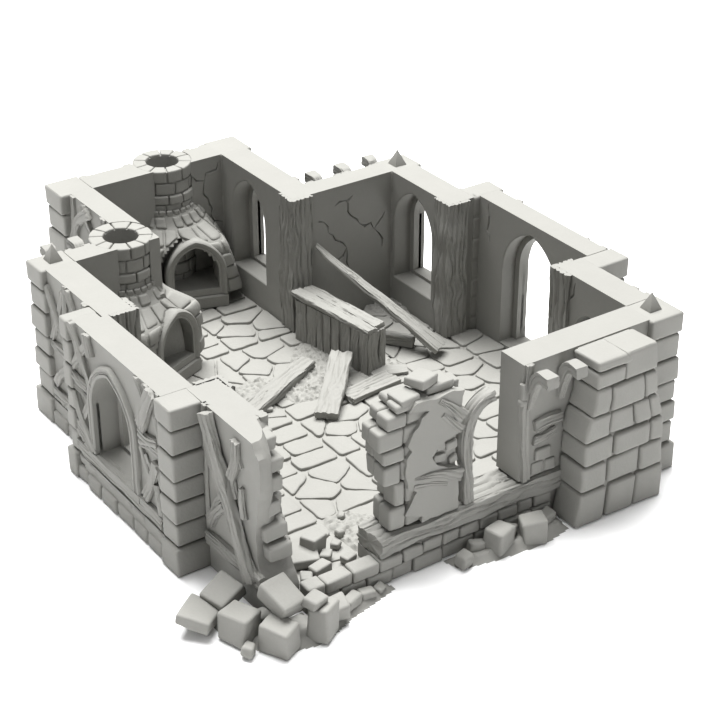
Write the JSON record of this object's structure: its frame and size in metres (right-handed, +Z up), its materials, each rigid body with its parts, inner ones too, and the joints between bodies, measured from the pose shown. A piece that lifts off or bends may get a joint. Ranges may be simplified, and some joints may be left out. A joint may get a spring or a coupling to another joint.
{
  "type": "miniature terrain ruin",
  "caption": "Ruined ground storey of a half-timbered house for tabletop games, with stone corners, pointed windows, ovens, a counter and rubble.",
  "frame": {"origin": "middle of the footprint, on the table surface", "axes": "+Z up, +Y from the open front to the rear room, +X towards the doorway wall"},
  "size_m": [0.1798, 0.2106, 0.0606],
  "materials": {
    "plaster": "matt printed plastic, trowelled plaster walls with cracks",
    "stone": "matt printed plastic, dressed and rounded stone",
    "timber": "matt printed plastic, deep wood grain and knots",
    "flagstone": "matt printed plastic, worn flagstones and gravel"
  },
  "bodies": {
    "root": {"rear_oven_dome": "stone", "rear_hearth": "stone", "rear_chimney_stack": "stone", "left_oven_dome": "stone", "left_hearth": "stone", "left_chimney_stack": "stone", "wall_rear": "plaster", "wall_rear_room_window": "plaster", "wall_jetty_right": "plaster", "wall_right_window": "plaster", "wall_doorway": "plaster", "wall_front_right_side": "plaster", "wall_front_right": "plaster", "wall_rear_room_left": "plaster", "wall_left_oven": "plaster", "wall_left_rear": "plaster", "wall_left_window": "plaster", "wall_front_left_broken": "plaster", "quoin_rear_left": "stone", "quoin_rear_right": "stone", "quoin_left_rear": "stone", "quoin_right_rear": "stone", "quoin_left_bay_rear": "stone", "quoin_left_bay_front": "stone", "quoin_door_rear": "stone", "quoin_door_front": "stone", "quoin_front_right": "stone", "buttress": "stone", "floor_slab": "flagstone", "post_rear_room": "timber", "post_door_rear": "timber", "post_door_front": "timber", "post_left_bay_rear": "timber", "post_left_bay_front": "timber", "strut_right_1": "timber", "strut_right_2": "timber", "strut_right_3": "timber", "strut_left_1": "timber", "strut_left_2": "timber", "strut_front_1": "timber", "strut_front_2": "timber", "front_pier": "stone", "loose_block_on_pier": "stone", "broken_jamb_timber": "timber", "front_sill_beam": "timber", "left_sill_beam": "timber", "broken_wall_brace": "timber", "counter_body": "timber", "counter_top": "timber", "leaning_plank": "timber", "fallen_beam": "timber", "floor_plank_1": "timber", "floor_plank_2": "timber", "floor_plank_3": "timber", "pin_left_rear": "stone", "pin_right_rear": "stone", "pin_front_right": "stone", "rubble_heap": "stone", "rubble_slab": "stone", "rubble_by_buttress": "stone"}
  },
  "joints": []
}
